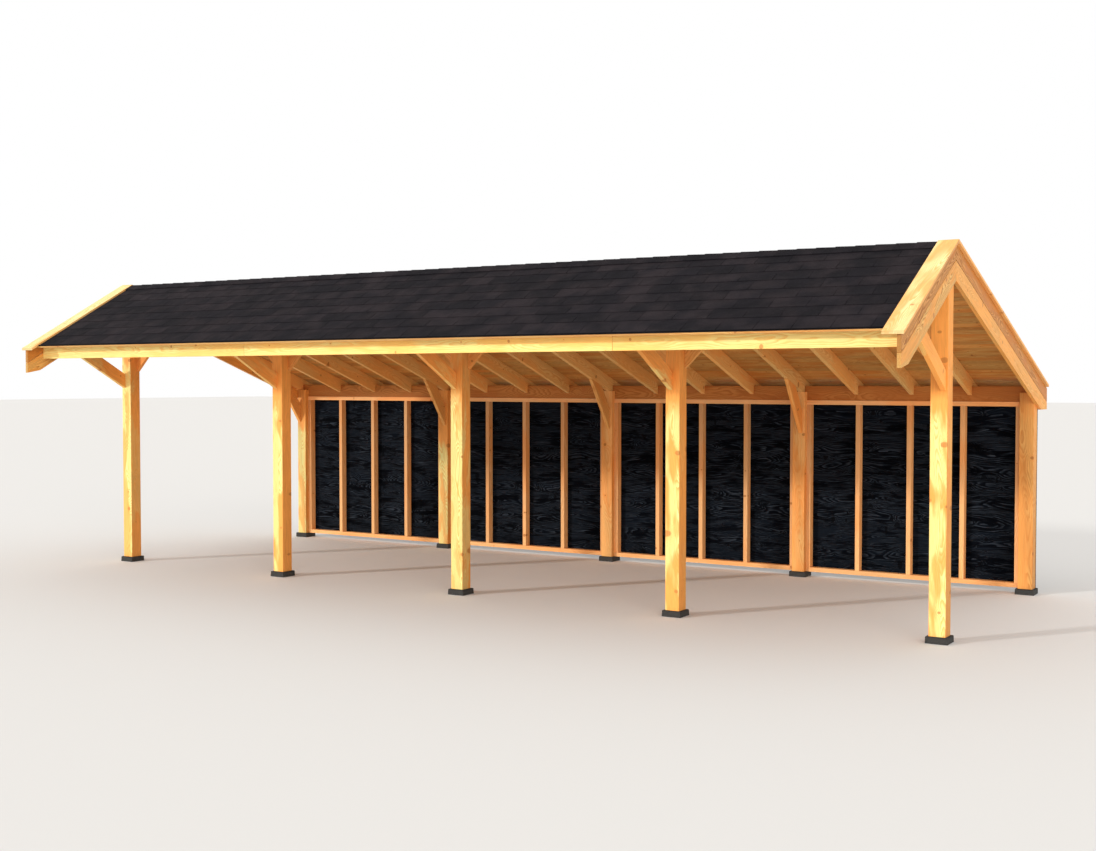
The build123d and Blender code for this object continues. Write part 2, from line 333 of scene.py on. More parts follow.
def woodMaterial(name, look):
    material, tree, shader = newMaterial(name, look["gloss"])
    figure = addNode(tree, "ShaderNodeGroup", node_tree=woodFigure)
    feedAll(tree, figure, {"Grain": attribute(tree, "grain", "Vector"), **look["figure"]})
    late, fibre, knot, halo, patch, relief = (figure.outputs[label] for label in woodMasks)
    tone = attribute(tree, "tone", "Fac")
    paintedLight = attribute(tree, "paintedLight", "Fac")

    strong = swayed(tree, look["lateShare"], patch, look["latePatch"])
    strong = limited(tree, swayed(tree, strong, fibre, look["streakShare"]))
    colour = blend(tree, times(tree, late, strong), look["early"], look["late"])

    if "paintedShadeFade" in look:
        # Painted shade: above the height where the roof's shadow falls on a post the painted light
        # fades out, so the top is painted warmer
        place = separated(tree, addNode(tree, "ShaderNodeTexCoord").outputs["Object"])
        below = calc(tree, "SUBTRACT", attribute(tree, "paintedShadeAbove", "Fac"), place[2])
        paintedLight = times(tree, paintedLight, ramp(tree, below, 0.0, look["paintedShadeFade"]))
    warmth = times(tree, ramp(tree, patch, *look["warmPatch"]), look["warmShare"])
    warmth = swayed(tree, warmth, tone, look["warmShare"] * look["warmTone"])
    warmth = calc(tree, "MULTIPLY_ADD", halo, look["haloShare"], warmth)
    # Painted light and shade: faces turned to the key light are painted paler, faces turned away
    # are painted warmer
    warmth = swayed(tree, warmth, paintedLight, -look["paintedLightShare"], look["evenPaintedLight"])
    colour = blend(tree, limited(tree, warmth), colour, look["warm"])

    level = 1.0
    for source, share in ((patch, "patchShare"), (tone, "toneShare"), (fibre, "fibreShare")):
        level = swayed(tree, level, source, look[share])
    endGrain = attribute(tree, "endGrain", "Fac")
    level = times(tree, level, calc(tree, "MULTIPLY_ADD", endGrain, -look["endShade"], 1.0))
    colour = blend(tree, times(tree, knot, look["knotShare"]), colour, look["knot"])
    feed(tree, shader.inputs["Base Color"], shade(tree, colour, level))
    rough = ramp(tree, relief, *look["reliefRange"], *look["rough"])
    feed(tree, shader.inputs["Roughness"], rough)
    normal = bumped(tree, relief, look["bumpStrength"], look["bumpDepth"])
    feed(tree, shader.inputs["Normal"], normal)
    return material


sawnLook = {
    "figure": {
        "Ring Pitch": 0.011,
        "Wander": 0.14,
        "Knot Gap": 0.42,
        "Knot Size": 0.22,
        "Knot Share": 0.26,
    },
    "early": (0.93, 0.48, 0.14, 1.0),
    "late": (0.68, 0.24, 0.052, 1.0),
    "warm": (0.85, 0.33, 0.075, 1.0),
    "knot": (0.42, 0.14, 0.03, 1.0),
    "lateShare": 0.75,
    "latePatch": 1.0,
    "streakShare": 0.9,
    "patchShare": 0.26,
    "warmShare": 0.7,
    "warmPatch": (0.46, 0.6),
    "warmTone": 0.8,
    "haloShare": 0.55,
    "paintedLightShare": 0.5,
    "evenPaintedLight": 0.75,  # faces lit more than this are painted paler, the others painted warmer as shade
    "toneShare": 0.2,
    "fibreShare": 0.42,
    "knotShare": 0.7,
    "endShade": 0.28,
    "reliefRange": (0.1, 0.9),
    "rough": (0.55, 0.75),
    "bumpStrength": 0.35,
    "bumpDepth": 0.0012,
    "gloss": 0.25,
}
freshLook = {
    **sawnLook,
    "figure": {
        "Ring Pitch": 0.0075,
        "Wander": 0.14,
        "Knot Gap": 0.4,
        "Knot Size": 0.24,
        "Knot Share": 0.34,
        "Patch Pitch": 1.5,
    },
    "early": (0.97, 0.86, 0.34, 1.0),
    "late": (0.88, 0.48, 0.12, 1.0),
    "warm": (0.93, 0.39, 0.088, 1.0),
    "knot": (0.50, 0.19, 0.045, 1.0),
    "paintedLightShare": 1.5,
    "warmShare": 1.0,
    "patchShare": 0.34,
    "fibreShare": 0.65,
    "lateShare": 0.85,
    "streakShare": 1.6,
}
paleLook = {**freshLook, "paintedShadeFade": 0.35}  # metres over which the painted roof shade at the top fades in
rosyLook = {
    **sawnLook,
    "early": (1.0, 0.54, 0.18, 1.0),
    "late": (0.90, 0.35, 0.09, 1.0),
    "warm": (0.94, 0.35, 0.075, 1.0),
}
plateLook = {
    **sawnLook,
    "early": (0.52, 0.21, 0.047, 1.0),
    "late": (0.31, 0.096, 0.018, 1.0),
    "warm": (0.41, 0.135, 0.025, 1.0),
}
rafterLook = {
    **sawnLook,
    "early": (0.98, 0.64, 0.235, 1.0),
    "late": (0.78, 0.36, 0.10, 1.0),
    "warm": (0.92, 0.45, 0.125, 1.0),
}
planedLook = {
    **freshLook,
    "figure": {
        "Ring Pitch": 0.009,
        "Wander": 0.09,
        "Knot Gap": 0.4,
        "Knot Size": 0.17,
        "Knot Share": 0.28,
    },
    "rough": (0.45, 0.62),
    "bumpStrength": 0.22,
}
fasciaLook = {
    **planedLook,
    "early": (0.99, 0.80, 0.29, 1.0),
    "late": (0.92, 0.55, 0.15, 1.0),
    "warm": (0.98, 0.60, 0.16, 1.0),
}
capLook = {
    **planedLook,
    "early": (0.97, 0.83, 0.42, 1.0),
    "late": (0.88, 0.47, 0.14, 1.0),
    "warm": (0.86, 0.44, 0.14, 1.0),
    "lateShare": 0.95,
}
gableLook = {
    **planedLook,
    "figure": {
        "Ring Pitch": 0.007,
        "Wander": 0.09,
        "Knot Gap": 0.4,
        "Knot Size": 0.2,
        "Knot Share": 0.4,
        "Patch Pitch": 1.5,
    },
    "early": (0.76, 0.365, 0.085, 1.0),
    "late": (0.33, 0.108, 0.018, 1.0),
    "warm": (0.57, 0.21, 0.038, 1.0),
    "lateShare": 1.0,
    "fibreShare": 0.8,
    "paintedLightShare": 1.2,
}
lowGableLook = {
    **gableLook,
    "early": (0.96, 0.60, 0.19, 1.0),
    "late": (0.48, 0.18, 0.034, 1.0),
    "warm": (0.84, 0.38, 0.085, 1.0),
}
liningLook = {
    **sawnLook,
    "figure": {
        "Ring Pitch": 0.008,
        "Wander": 0.09,
        "Knot Gap": 0.5,
        "Knot Size": 0.2,
        "Knot Share": 0.4,
    },
    "early": (0.96, 0.55, 0.165, 1.0),
    "late": (0.68, 0.28, 0.062, 1.0),
    "warm": (0.76, 0.30, 0.062, 1.0),
    "toneShare": 0.45,
    "warmShare": 0.8,
    "rough": (0.5, 0.66),
    "bumpStrength": 0.22,
}
studLook = {
    **sawnLook,
    "figure": {
        "Ring Pitch": 0.008,
        "Wander": 0.06,
        "Knot Gap": 0.4,
        "Knot Size": 0.16,
        "Knot Share": 0.25,
    },
    "early": (0.98, 0.56, 0.25, 1.0),
    "late": (0.80, 0.35, 0.12, 1.0),
    "warm": (0.90, 0.38, 0.12, 1.0),
}
blackLook = {
    **sawnLook,
    "figure": {
        "Ring Pitch": 0.012,
        "Wander": 0.16,
        "Knot Gap": 0.36,
        "Knot Size": 0.24,
        "Knot Share": 0.5,
        "Patch Pitch": 2.6,
    },
    "early": (0.0010, 0.0016, 0.0034, 1.0),
    "late": (0.045, 0.058, 0.080, 1.0),
    "warm": (0.003, 0.005, 0.009, 1.0),
    "knot": (0.001, 0.001, 0.0015, 1.0),
    "lateShare": 0.45,
    "latePatch": 3.4,
    "streakShare": 2.4,
    "patchShare": 0.8,
    "haloShare": 0.0,
    "paintedLightShare": 0.0,
    "toneShare": 0.4,
    "fibreShare": 0.9,
    "endShade": 0.0,
    "rough": (0.85, 0.6),
    "bumpStrength": 0.7,
    "bumpDepth": 0.002,
    "gloss": 0.03,
}
sawnTimber = woodMaterial("sawnTimber", sawnLook)
paleTimber = woodMaterial("paleTimber", paleLook)
rosyTimber = woodMaterial("rosyTimber", rosyLook)
plateTimber = woodMaterial("plateTimber", plateLook)
rafterTimber = woodMaterial("rafterTimber", rafterLook)
fasciaWood = woodMaterial("fasciaWood", fasciaLook)
capBoards = woodMaterial("capBoards", capLook)
gableBoards = woodMaterial("gableBoards", gableLook)
lowGableBoards = woodMaterial("lowGableBoards", lowGableLook)
roofLining = woodMaterial("roofLining", liningLook)
studTimber = woodMaterial("studTimber", studLook)
blackBoards = woodMaterial("blackBoards", blackLook)

# Bitumen shingles: mineral granules, two colours in broad patches, and a tone for each tab

shingleLook = {
    "slate": (0.0090, 0.0080, 0.0112, 1.0),
    "umber": (0.0190, 0.0152, 0.0187, 1.0),
    "granules": 420.0,
    "granuleShare": 0.9,
    "patches": 3.4,
    "patchDetail": 3.0,
    "patchMix": 0.95,
    "toneMix": 0.1,
    "mixRange": (0.4, 0.7),
    "toneShare": 0.26,
    "waves": 7.0,
    "wavePaintedShade": 0.8,
    "waveStrength": 1.0,
    "waveDepth": 0.012,
    "eaveShade": 0.85,
    "darkest": 0.08,
    "rough": 0.92,
    "gloss": 0.1,
    "bumpStrength": 0.5,
    "bumpDepth": 0.0011,
}


def shingleMaterial(name, look):
    material, tree, shader = newMaterial(name, look["gloss"])
    place = attribute(tree, "grain", "Vector")
    tone = attribute(tree, "tone", "Fac")
    patch = cloud(tree, place, look["patches"], look["patchDetail"])
    wave = cloud(tree, place, look["waves"])
    granule = cells(tree, place, look["granules"])
    speck = separated(tree, granule["Color"], "ShaderNodeSeparateColor")[0]
    mixed = times(tree, patch, look["patchMix"])
    mixed = calc(tree, "MULTIPLY_ADD", tone, look["toneMix"], mixed)
    colour = blend(tree, ramp(tree, mixed, *look["mixRange"]), look["slate"], look["umber"])
    level = 1.0
    # Painted shade: the waves that roll the surface also paint it lighter on their crests and
    # darker in their troughs
    for source, share in ((speck, "granuleShare"), (tone, "toneShare"), (wave, "wavePaintedShade")):
        level = swayed(tree, level, source, look[share])
    eave = attribute(tree, "endGrain", "Fac")  # 1 on the eave strip, which is nearly black
    level = calc(tree, "MULTIPLY_ADD", eave, -look["eaveShade"], level)
    level = calc(tree, "MAXIMUM", level, look["darkest"])
    feed(tree, shader.inputs["Base Color"], shade(tree, colour, level))
    shader.inputs["Roughness"].default_value = look["rough"]
    rolling = bumped(tree, wave, look["waveStrength"], look["waveDepth"])
    height = calc(tree, "SUBTRACT", 1.0, granule["Distance"])
    normal = bumped(tree, height, look["bumpStrength"], look["bumpDepth"], rolling)
    feed(tree, shader.inputs["Normal"], normal)
    return material


shingleFelt = shingleMaterial("shingleFelt", shingleLook)

concreteLook = {
    "pale": (0.045, 0.044, 0.042, 1.0),
    "dark": (0.016, 0.016, 0.016, 1.0),
    "mottle": {"scale": 28.0, "detail": 6.0, "roughness": 0.65},
    "mottleShare": 0.7,
    "sand": 420.0,
    "sandShare": 0.3,
    "mixRange": (0.35, 0.65),
    "pits": 95.0,
    "pitRim": (0.30, 0.12),
    "pitPaintedShade": 0.5,
    "pitDepth": 0.6,
    "roughRange": (0.3, 0.7),
    "rough": (0.75, 0.95),
    "gloss": 0.5,
    "bumpStrength": 0.6,
    "bumpDepth": 0.0015,
}


def concreteMaterial(name, look):
    material, tree, shader = newMaterial(name, look["gloss"])
    place = attribute(tree, "grain", "Vector")
    mottle = cloud(tree, place, **look["mottle"])
    sand = cloud(tree, place, look["sand"])
    pit = ramp(tree, cells(tree, place, look["pits"])["Distance"], *look["pitRim"])
    coarse, fine = times(tree, mottle, look["mottleShare"]), times(tree, sand, look["sandShare"])
    mixed = calc(tree, "ADD", coarse, fine)
    colour = blend(tree, ramp(tree, mixed, *look["mixRange"]), look["dark"], look["pale"])
    # Painted shade: the pits are painted darker, as the shade in them would make them
    level = calc(tree, "MULTIPLY_ADD", pit, -look["pitPaintedShade"], 1.0)
    feed(tree, shader.inputs["Base Color"], shade(tree, colour, level))
    rough = ramp(tree, mottle, *look["roughRange"], *look["rough"])
    feed(tree, shader.inputs["Roughness"], rough)
    height = calc(tree, "SUBTRACT", mixed, times(tree, pit, look["pitDepth"]))
    normal = bumped(tree, height, look["bumpStrength"], look["bumpDepth"])
    feed(tree, shader.inputs["Normal"], normal)
    return material


castConcrete = concreteMaterial("castConcrete", concreteLook)
print("materials made")

# Meshes that carry their grain. Each point knows its metres along the timber and across it
# from the pith, the timber's tone, whether it is on end grain, how much painted light it takes
# (faces turned to the key light painted paler), and the height above which its post has painted
# roof shade.

alongBarn = Vector((1.0, 0.0, 0.0))
acrossBarn = Vector((0.0, 1.0, 0.0))
upward = Vector((0.0, 0.0, 1.0))
# The side the key light shines from, used for painted light: faces turned to it are painted paler
paintedLightSide = Vector((-0.45, -0.8, 0.4)).normalized()
grainWay = Vector((1.0, 0.3, 0.5))  # grain runs this way rather than the opposite one
aboveRoof = 9.0  # for timber with no painted roof shade
meshing = {
    "weld": 0.00005,
    "flatWithin": 0.6,  # degrees between faces that are one flat face
    "endLean": 0.42,  # a face that leans this far along the grain is end grain
    "sideLean": 0.05,  # and one that leans less than this is a side
    "grainReach": 60,  # metres of grain that a timber may be cut from
    "digits": 5,  # lengths and areas alike to these digits are equal
    "sharp": 55.0,  # degrees that an edge turns before it is eased
    "blunt": 30.0,  # the same for fascias and base blocks
}
seeds = itertools.count(101)  # one for each piece, in the order of making


def newSheets():
    labels = ("points", "faces", "grain", "tone", "endGrain", "paintedLight", "paintedShadeAbove")
    return {label: [] for label in labels}


def endGrainShare(vertex, along):
    leans = [abs(face.normal.dot(along)) for face in vertex.link_faces]
    return 1.0 if any(lean > meshing["endLean"] for lean in leans) else 0.0


def paintedLightShare(vertex):
    # Painted light and shade: near 1 on the faces that look to the sunny side, which are painted
    # paler, near 0 on the opposite ones, which are painted warmer
    widest = max(vertex.link_faces, key=lambda face: face.calc_area())
    return min(1.0, max(0.0, 0.5 + 0.5 * widest.normal.dot(paintedLightSide)))


def addTimber(
    sheets, solid, along, across, heart, rng, endGrain=None, paintedShadeAbove=aboveRoof, tone=None
):
    # heart: how far the pith lies from the middle, sideways and, from least to most, square
    # to the widest face. It is None where the solids make up one sheet.
    axes = (along, across, along.cross(across))
    if heart is None:
        middle, shift = (0.0, 0.0, 0.0), (0.0, 0.0, 0.0)
    else:
        aside, least, most = heart
        spans = [[v.co.dot(axis) for v in solid.verts] for axis in axes]
        middle = [(min(span) + max(span)) / 2 for span in spans]
        shift = (
            rng.uniform(0, meshing["grainReach"]),
            rng.uniform(-aside, aside),
            rng.choice((-1, 1)) * rng.uniform(least, most),
        )
    tone = rng.random() if tone is None else tone
    first = len(sheets["points"])
    solid.verts.index_update()
    for v in solid.verts:
        grain = [v.co.dot(axis) - m + push for axis, m, push in zip(axes, middle, shift)]
        sheets["points"].append(tuple(v.co))
        sheets["grain"].append(grain)
        sheets["tone"].append(tone)
        sheets["endGrain"].append(endGrainShare(v, along) if endGrain is None else endGrain)
        sheets["paintedLight"].append(paintedLightShare(v))
        sheets["paintedShadeAbove"].append(paintedShadeAbove)
    for face in solid.faces:
        sheets["faces"].append([first + v.index for v in face.verts])
    solid.free()


def camelName(node):
    words = node.split("_")
    return words[0] + "".join(word.capitalize() for word in words[1:])


def finishPiece(node, sheets, material):
    name = camelName(node)
    data = bpy.data.meshes.new(name)
    data.from_pydata(sheets["points"], [], sheets["faces"])
    data.materials.append(material)
    grain = data.attributes.new("grain", "FLOAT_VECTOR", "POINT")
    grain.data.foreach_set("vector", [value for row in sheets["grain"] for value in row])
    for label in ("tone", "endGrain", "paintedLight", "paintedShadeAbove"):
        data.attributes.new(label, "FLOAT", "POINT").data.foreach_set("value", sheets[label])
    data.validate()
    piece = bpy.data.objects.new(name, data)
    scene.collection.objects.link(piece)
    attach(piece, "root")
    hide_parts(node)


def touchingFaces(start, seen):
    waiting, taken = [start], []
    seen[start.index] = True
    while waiting:
        face = waiting.pop()
        taken.append(face)
        for edge in face.edges:
            for near in edge.link_faces:
                if not seen[near.index]:
                    seen[near.index] = True
                    waiting.append(near)
    return taken


def looseSolids(node):
    # The solids of a CAD node in the order of their faces, each as a mesh of its own
    whole = bmesh.new()
    whole.from_mesh(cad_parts[node].data)
    bmesh.ops.remove_doubles(whole, verts=whole.verts, dist=meshing["weld"])
    whole.faces.ensure_lookup_table()
    flat = math.radians(meshing["flatWithin"])
    seen = [False] * len(whole.faces)
    solids = []
    for start in whole.faces:
        if seen[start.index]:
            continue
        solid = bmesh.new()
        places = {}
        for face in touchingFaces(start, seen):
            for v in face.verts:
                if v.index not in places:
                    places[v.index] = solid.verts.new(v.co)
            solid.faces.new([places[v.index] for v in face.verts])
        bmesh.ops.dissolve_limit(solid, angle_limit=flat, verts=solid.verts, edges=solid.edges)
        bmesh.ops.recalc_face_normals(solid, faces=solid.faces)
        solids.append(solid)
    whole.free()
    return solids


def grainAxes(solid):
    # Along the longest edge, and across in the widest face
    digits = meshing["digits"]
    longest = max(solid.edges, key=lambda edge: round(edge.calc_length(), digits))
    along = (longest.verts[1].co - longest.verts[0].co).normalized()
    if along.dot(grainWay) < 0:
        along = -along
    sides = [face for face in solid.faces if abs(face.normal.dot(along)) < meshing["sideLean"]]
    widest = max(sides, key=lambda face: round(face.calc_area(), digits))
    return along, widest.normal.cross(along).normalized()


def easeEdges(solid, width, sharperThan=meshing["sharp"]):
    limit = math.radians(sharperThan)
    outer = [edge for edge in solid.edges if edge.is_manifold and edge.is_convex]
    edges = [edge for edge in outer if edge.calc_face_angle() > limit]
    bmesh.ops.bevel(
        solid, geom=edges, offset=width, segments=2, profile=0.5, affect="EDGES", clamp_overlap=True
    )


def planeDown(solid, direction, depth):
    # Takes a little off the face that looks most nearly in a direction
    face = max(solid.faces, key=lambda face: face.normal.dot(direction))
    point, normal = face.calc_center_median() - face.normal * depth, face.normal.copy()
    parts = solid.verts[:] + solid.edges[:] + solid.faces[:]
    bmesh.ops.bisect_plane(solid, geom=parts, plane_co=point, plane_no=normal, clear_outer=True)
    bmesh.ops.contextual_create(solid, geom=[edge for edge in solid.edges if edge.is_boundary])
    bmesh.ops.recalc_face_normals(solid, faces=solid.faces)


def dressTimbers(node, wood, cut, planed=(), paintedShadeAbove=aboveRoof, tone=None):
    rng = random.Random(next(seeds))
    sheets = newSheets()
    for solid in looseSolids(node):
        along, across = grainAxes(solid)
        for direction, depth in planed:
            planeDown(solid, Vector(direction), depth)
        easeEdges(solid, cut["eased"])
        addTimber(sheets, solid, along, across, cut["heart"], rng, None, paintedShadeAbove, tone)
    finishPiece(node, sheets, wood)


# Posts, beams, rafters and braces. The posts are cut round the heart, the rest beside it.

posts = {
    # wood, the height in metres above which the roof's shadow is painted on warmer, and its tone
    "front_post_1": (paleTimber, aboveRoof, 0.5),
    "front_post_2": (paleTimber, 2.2, 0.88),
    "front_post_3": (paleTimber, 2.2, 0.12),
    "front_post_4": (paleTimber, 2.2, 0.75),
    "front_post_5": (paleTimber, 2.2, 0.62),
    "back_post_1": (paleTimber, 1.75, 0.35),
    "back_post_2": (paleTimber, 1.6, 0.4),
    "back_post_3": (rosyTimber, aboveRoof, 0.4),
    "back_post_4": (rosyTimber, aboveRoof, 0.5),
    "back_post_5": (sawnTimber, aboveRoof, 0.5),
}
postCut = {"eased": 0.0015, "heart": (0.03, 0.0, 0.03)}
frameTimbers = {
    "beams": {
        "nodes": ["ridge_beam", "wall_plate"],
        "wood": plateTimber,
        "eased": 0.003,
        "heart": (0.02, 0.05, 0.09),
    },
    "rafters": {
        "nodes": ["front_rafters", "back_rafters"],
        "wood": rafterTimber,
        "eased": 0.002,
        "heart": (0.03, 0.04, 0.09),
    },
    "frontBraces": {
        "nodes": [f"front_brace_{i}" for i in range(1, 6)],
        "wood": paleTimber,
        "eased": 0.0025,
        "heart": (0.03, 0.04, 0.09),
    },
    "backBraces": {
        "nodes": [f"back_brace_{i}" for i in range(1, 5)] + ["ridge_braces"],
        "wood": sawnTimber,
        "eased": 0.0025,
        "heart": (0.03, 0.04, 0.09),
    },
}
for node, (wood, paintedShadeAbove, tone) in posts.items():
    dressTimbers(node, wood, postCut, paintedShadeAbove=paintedShadeAbove, tone=tone)
for group in frameTimbers.values():
    for node in group["nodes"]:
        dressTimbers(node, group["wood"], group)
print("frame timbers made")

# Rails and studs of the back wall

wallTimbers = {
    "nodes": ["wall_rails"] + [f"wall_studs_{i}" for i in range(1, 5)],
    "eased": 0.002,
    "heart": (0.01, 0.04, 0.08),
}
for node in wallTimbers["nodes"]:
    dressTimbers(node, studTimber, wallTimbers)
print("wall timbers made")

# Bargeboards and verge caps. Thin open joints part the boards of each pair and meet at the ridge.

bargeboards = {
    "eased": 0.005,
    "heart": (0.04, 0.03, 0.09),
    "seam": 0.0028,
    "seamTilt": 0.35,
    "ridgeJoint": 0.002,
}
vergeCaps = {
    "nodes": ["front_verge_caps", "back_verge_caps"],
    "eased": 0.0025,
    "heart": (0.03, 0.03, 0.07),
}
for slope, towardsRidge in (("front", 1.0), ("back", -1.0)):
    for level, towardsSeam, wood in (("upper", -1.0, gableBoards), ("lower", 1.0, lowGableBoards)):
        tilt = -bargeboards["seamTilt"] * towardsRidge * towardsSeam
        cuts = [
            ((0.0, tilt, towardsSeam), bargeboards["seam"]),
            ((0.0, towardsRidge, 0.0), bargeboards["ridgeJoint"]),
        ]
        dressTimbers(f"{slope}_{level}_bargeboards", wood, bargeboards, cuts)
for node in vergeCaps["nodes"]:
    dressTimbers(node, capBoards, vergeCaps)
print("verge boards made")


# Boards that run along the barn, built on the section of their CAD sheet

framing = {"firstPost": -5.1, "rafterGap": 0.6375, "gaps": 16}
boardEnds = {"shortest": 1.6, "lastShortest": 0.9}  # the shortest board, and the last of a row
boardStops = [framing["firstPost"] + framing["rafterGap"] * i for i in range(1, framing["gaps"])]


def sectionOf(node):
    # The sheet's corners in Y and Z, in order round its middle
    points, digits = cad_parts[node].data.vertices, meshing["digits"]
    corners = sorted({(round(v.co.y, digits), round(v.co.z, digits)) for v in points})
    centreY = sum(y for y, z in corners) / len(corners)
    centreZ = sum(z for y, z in corners) / len(corners)
    return sorted(corners, key=lambda corner: math.atan2(corner[1] - centreZ, corner[0] - centreY))


def slopeOf(node):
    # Eave and ridge corners of a roof sheet, its direction up the slope and its outward normal
    byY = sorted(sectionOf(node), key=lambda corner: corner[0])
    eave, ridge = sorted((byY[:2], byY[2:]), key=lambda pair: sum(z for y, z in pair))
    eaveLow, eaveHigh = (Vector(corner) for corner in sorted(eave, key=lambda corner: corner[1]))
    ridgeLow, ridgeHigh = (Vector(corner) for corner in sorted(ridge, key=lambda corner: corner[1]))
    up = (ridgeLow - eaveLow).normalized()
    normal = Vector((-up.y, up.x))
    if normal.y < 0:
        normal = -normal
    return eaveLow, eaveHigh, ridgeLow, ridgeHigh, up, normal


def skinned(first, second):
    # A closed solid between two rings of corners that run the same way
    solid = bmesh.new()
    rings = [[solid.verts.new(corner) for corner in ring] for ring in (first, second)]
    solid.faces.new(rings[0][::-1])
    solid.faces.new(rings[1])
    for i in range(len(first)):
        j = (i + 1) % len(first)
        solid.faces.new((rings[0][i], rings[0][j], rings[1][j], rings[1][i]))
    bmesh.ops.recalc_face_normals(solid, faces=solid.faces)
    return solid


def prismAlong(section, left, right):
    return skinned([(left, y, z) for y, z in section], [(right, y, z) for y, z in section])


def layLengths(sheets, section, joints, gap, across, heart, rng, eased=0.0):
    # One row of boards end to end, each cut back by the gap at the joints
    for left, right in zip(joints, joints[1:]):
        start = left + (gap if left > joints[0] else 0)
        end = right - (gap if right < joints[-1] else 0)
        solid = prismAlong(section, start, end)
        if eased:
            easeEdges(solid, eased, meshing["blunt"])
        addTimber(sheets, solid, alongBarn, across, heart, rng)


def jointsFor(left, right, longest, rng):
    # Where the boards of one row meet: each joint lies on a rafter or stud
    joints, start = [left], left
    while right - start > longest:
        near = [stop for stop in boardStops if boardEnds["shortest"] < stop - start <= longest]
        start = rng.choice([stop for stop in near if right - stop > boardEnds["lastShortest"]])
        joints.append(start)
    joints.append(right)
    return joints


roofBoards = {
    "cover": 0.095,
    "narrowest": 0.02,
    "groove": 0.0042,
    "seam": 0.0004,
    "longest": 5.4,
    "joint": 0.0012,
    "heart": (0.02, 0.02, 0.06),
}


def layRoofBoards(node):
    rng = random.Random(next(seeds))
    low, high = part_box(node)
    eaveLow, eaveHigh, ridgeLow, ridgeHigh, up, normal = slopeOf(node)
    thick = (eaveHigh - eaveLow).dot(normal)
    length = (ridgeLow - eaveLow).dot(up)
    cover, groove, seam = (roofBoards[label] for label in ("cover", "groove", "seam"))
    upSlope = Vector((0.0, up.x, up.y))
    sheets = newSheets()
    for row in range(math.ceil(length / cover)):
        start, end = row * cover, min((row + 1) * cover, length)
        if end - start < roofBoards["narrowest"]:
            continue
        lowStart, lowEnd = eaveLow + up * (start + seam), eaveLow + up * (end - seam)
        section = [
            lowStart + normal * groove,
            lowStart + up * groove,
            lowEnd - up * groove,
            lowEnd + normal * groove,
            lowEnd + normal * thick,
            lowStart + normal * thick,
        ]
        if row == 0:
            section[0], section[5] = eaveLow + normal * groove, eaveHigh
        if end == length:
            section[3:5] = [ridgeLow, ridgeHigh]
        joints = jointsFor(low.x, high.x, roofBoards["longest"], rng)
        gap = roofBoards["joint"] / 2
        layLengths(sheets, section, joints, gap, upSlope, roofBoards["heart"], rng)
    finishPiece(node, sheets, roofLining)


for node in ("front_roof_boards", "back_roof_boards"):
    layRoofBoards(node)
print("roof boards laid")

# Black boards on the back wall: the outer half of each laps over the board below

wallCladding = {
    "firstSeam": 0.235,
    "cover": 0.195,
    "narrowest": 0.03,
    "seam": 0.0007,
    "lap": 0.012,
    "eased": 0.0022,
    "drip": 0.005,
    "longest": 5.3,
    "heart": (0.05, 0.025, 0.07),
}


def cladSection(low, high, bottom, top):
    seam, lap, eased, drip = (wallCladding[label] for label in ("seam", "lap", "eased", "drip"))
    middle = (low.y + high.y) / 2
    foot, head = bottom + seam, top - seam
    outerFoot, outerHead = bottom + seam - lap, top - seam - lap
    if bottom == low.z:
        foot = outerFoot = bottom
    if top == high.z:
        head = outerHead = top
    section = [
        (low.y, foot + eased),
        (low.y, head - eased),
        (low.y + eased, head),
        (middle - seam / 2, head),
        (middle - seam / 2, outerHead),
        (high.y - drip, outerHead),
        (high.y, outerHead - drip),
        (high.y, outerFoot + eased),
        (high.y - eased, outerFoot),
        (middle + seam / 2, outerFoot),
        (middle + seam / 2, foot),
        (low.y + eased, foot),
    ]
    return [corner for corner, before in zip(section, section[-1:] + section) if corner != before]


def layWallBoards(node):
    rng = random.Random(next(seeds))
    low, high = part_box(node)
    seam = wallCladding["firstSeam"]
    seams = [low.z]
    while seam < high.z - wallCladding["narrowest"]:
        seams.append(seam)
        seam = wallCladding["firstSeam"] + wallCladding["cover"] * (len(seams) - 1)
    seams.append(high.z)
    gap, heart = wallCladding["seam"], wallCladding["heart"]
    sheets = newSheets()
    for bottom, top in zip(seams, seams[1:]):
        section = cladSection(low, high, bottom, top)
        joints = jointsFor(low.x, high.x, wallCladding["longest"], rng)
        layLengths(sheets, section, joints, gap, upward, heart, rng)
    finishPiece(node, sheets, blackBoards)


layWallBoards("wall_boards")
print("wall boards laid")

# Fascias in lengths that butt together

fasciaBoards = {
    "joints": {"front_fascia": (-1.913, 2.55), "back_fascia": (-2.55, 1.913)},
    "seam": 0.0006,
    "eased": 0.003,
    "heart": (0.04, 0.03, 0.08),
}


def layFascia(node):
    rng = random.Random(next(seeds))
    low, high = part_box(node)
    joints = [low.x, *fasciaBoards["joints"][node], high.x]
    seam, eased, heart = (fasciaBoards[label] for label in ("seam", "eased", "heart"))
    sheets = newSheets()
    layLengths(sheets, sectionOf(node), joints, seam, upward, heart, rng, eased)
    finishPiece(node, sheets, fasciaWood)


for node in fasciaBoards["joints"]:
    layFascia(node)
print("fascias laid")

# Shingles: a felt under courses of tabs, each tab tilted on the course below it

shingleTabs = {
    "firstCourse": 0.23,
    "lastCourse": 0.05,  # none is started nearer to the ridge than this
    "cover": 0.1833,
    "tab": 0.3333,
    "narrowest": 0.02,
    "slot": 0.007,
    "felt": 0.0044,
    "bedded": 0.0002,  # how far a tab's underside lies in the felt
    "tucked": 0.0003,  # and how far its upper end stands over it
    "step": 0.0047,
    "play": 0.0007,
    "stagger": 0.01,
    "slip": 0.0015,
    "gutter": 0.014,  # left open beside the verge caps
    "eaveStrip": 0.012,
}


